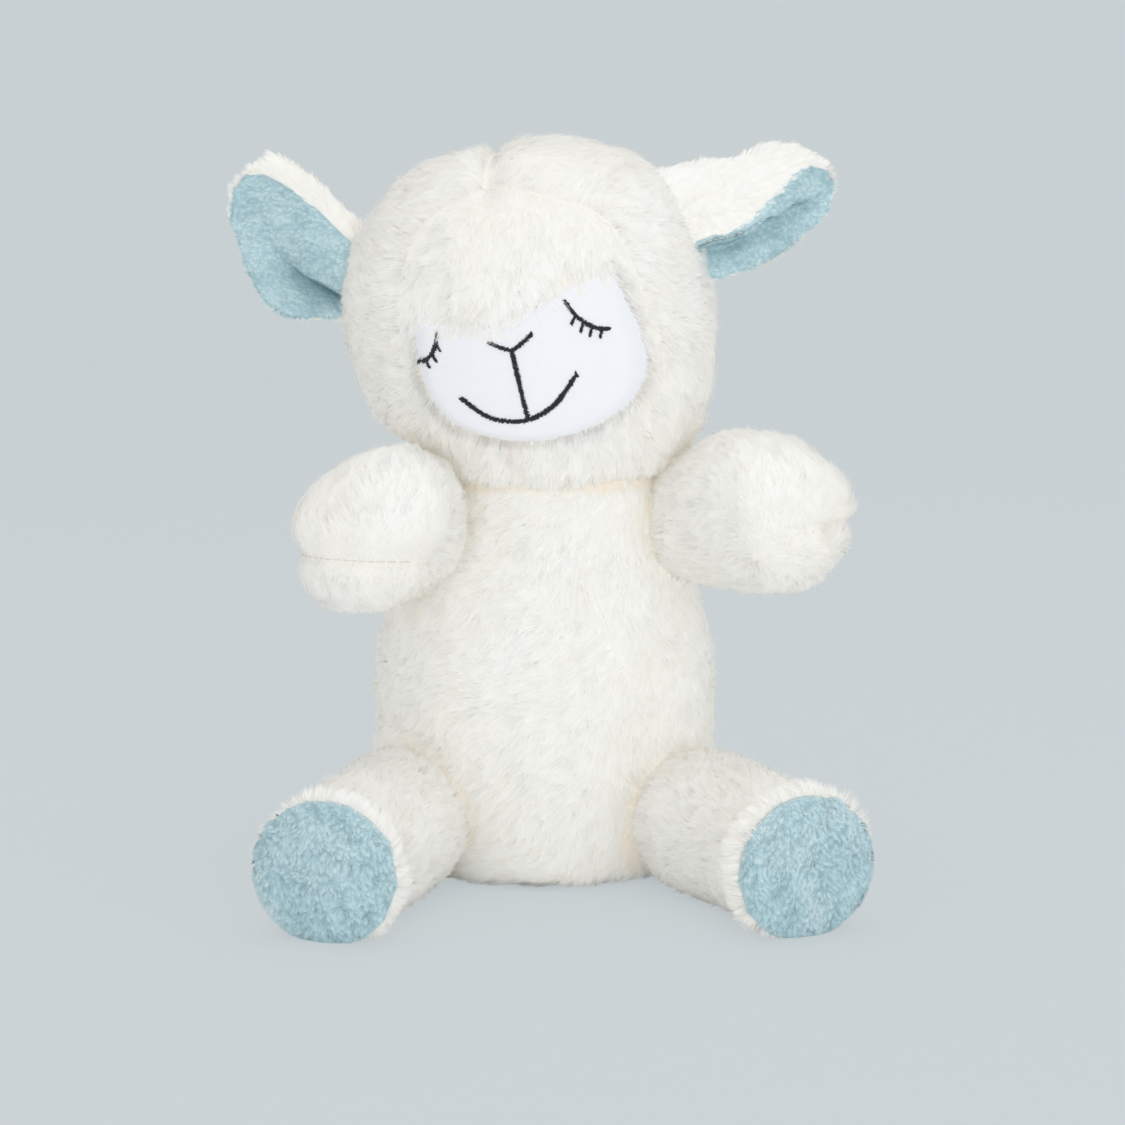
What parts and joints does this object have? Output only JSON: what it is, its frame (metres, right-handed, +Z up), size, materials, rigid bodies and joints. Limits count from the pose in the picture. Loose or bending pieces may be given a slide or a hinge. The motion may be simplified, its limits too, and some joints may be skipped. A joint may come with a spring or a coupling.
{
  "type": "plush lamb",
  "caption": "Sitting plush lamb: soft fur body, stitched sleeping face, lined ears, mitten arms and legs with round sole pads.",
  "frame": {"origin": "middle of the flat seat, on the surface the toy sits on", "axes": "+X to the viewer's right when facing the toy, +Y towards its back, +Z up"},
  "size_m": [0.2559, 0.19, 0.2908],
  "materials": {
    "cream_fur": "long soft pile",
    "short_pile": "short brushed pile",
    "blue_plush": "short dense pile",
    "embroidery_thread": "satin stitch thread",
    "closing_thread": "cotton thread",
    "fibre_filling": "loose fibre",
    "cotton_cloth": "woven cloth"
  },
  "bodies": {
    "torso": {"torso_cover": "cream_fur", "torso_stuffing": "fibre_filling", "pellet_pouch": "cotton_cloth"},
    "neck": {"neck_wad": "fibre_filling"},
    "head": {"head_cover": "cream_fur", "forelock_panel": "cream_fur", "face_panel": "short_pile", "head_stuffing": "fibre_filling", "left_eye_embroidery": "embroidery_thread", "right_eye_embroidery": "embroidery_thread", "nose_embroidery": "embroidery_thread", "mouth_embroidery": "embroidery_thread"},
    "left_ear": {"left_ear_cover": "cream_fur", "left_ear_lining": "blue_plush"},
    "right_ear": {"right_ear_cover": "cream_fur", "right_ear_lining": "blue_plush"},
    "left_arm": {"left_arm_cover": "cream_fur", "left_arm_stuffing": "fibre_filling", "left_mitten_stitch": "closing_thread"},
    "right_arm": {"right_arm_cover": "cream_fur", "right_arm_stuffing": "fibre_filling", "right_mitten_stitch": "closing_thread"},
    "left_leg": {"left_leg_cover": "cream_fur", "left_sole_pad": "blue_plush", "left_leg_stuffing": "fibre_filling"},
    "right_leg": {"right_leg_cover": "cream_fur", "right_sole_pad": "blue_plush", "right_leg_stuffing": "fibre_filling"}
  },
  "joints": [
    {"name": "neck_nod", "type": "hinge", "parent": "torso", "child": "neck", "pos_m": [0.003, -0.003, 0.15], "axis": [1, 0, 0], "range_deg": [-8, 6], "stiffness_Nm_per_rad": 0.9},
    {"name": "neck_tilt", "type": "hinge", "parent": "neck", "child": "head", "pos_m": [0.003, -0.003, 0.15], "axis": [0, 1, 0], "range_deg": [-6, 6], "stiffness_Nm_per_rad": 0.9},
    {"name": "left_ear_flop", "type": "hinge", "parent": "head", "child": "left_ear", "pos_m": [-0.08037, 0.00131, 0.23689], "axis": [0.634, -0.1567, 0.7573], "range_deg": [-20, 20], "stiffness_Nm_per_rad": 0.02},
    {"name": "right_ear_flop", "type": "hinge", "parent": "head", "child": "right_ear", "pos_m": [0.0589, -0.01735, 0.26345], "axis": [0.2441, 0.6735, -0.6977], "range_deg": [-20, 20], "stiffness_Nm_per_rad": 0.02},
    {"name": "left_arm_swing", "type": "hinge", "parent": "torso", "child": "left_arm", "pos_m": [-0.049, -0.019, 0.138], "axis": [0, 0, 1], "range_deg": [-45, 5], "stiffness_Nm_per_rad": 0.15},
    {"name": "right_arm_swing", "type": "hinge", "parent": "torso", "child": "right_arm", "pos_m": [0.057, -0.019, 0.138], "axis": [0, 0, 1], "range_deg": [-20, 20], "stiffness_Nm_per_rad": 0.15},
    {"name": "left_leg_raise", "type": "hinge", "parent": "torso", "child": "left_leg", "pos_m": [-0.053, -0.033, 0.0275], "axis": [-0.9536, 0.3011, 0], "range_deg": [-25, 35], "stiffness_Nm_per_rad": 0.3},
    {"name": "right_leg_raise", "type": "hinge", "parent": "torso", "child": "right_leg", "pos_m": [0.055, -0.031, 0.0275], "axis": [-0.8883, -0.4592, 0], "range_deg": [-25, 35], "stiffness_Nm_per_rad": 0.3}
  ]
}
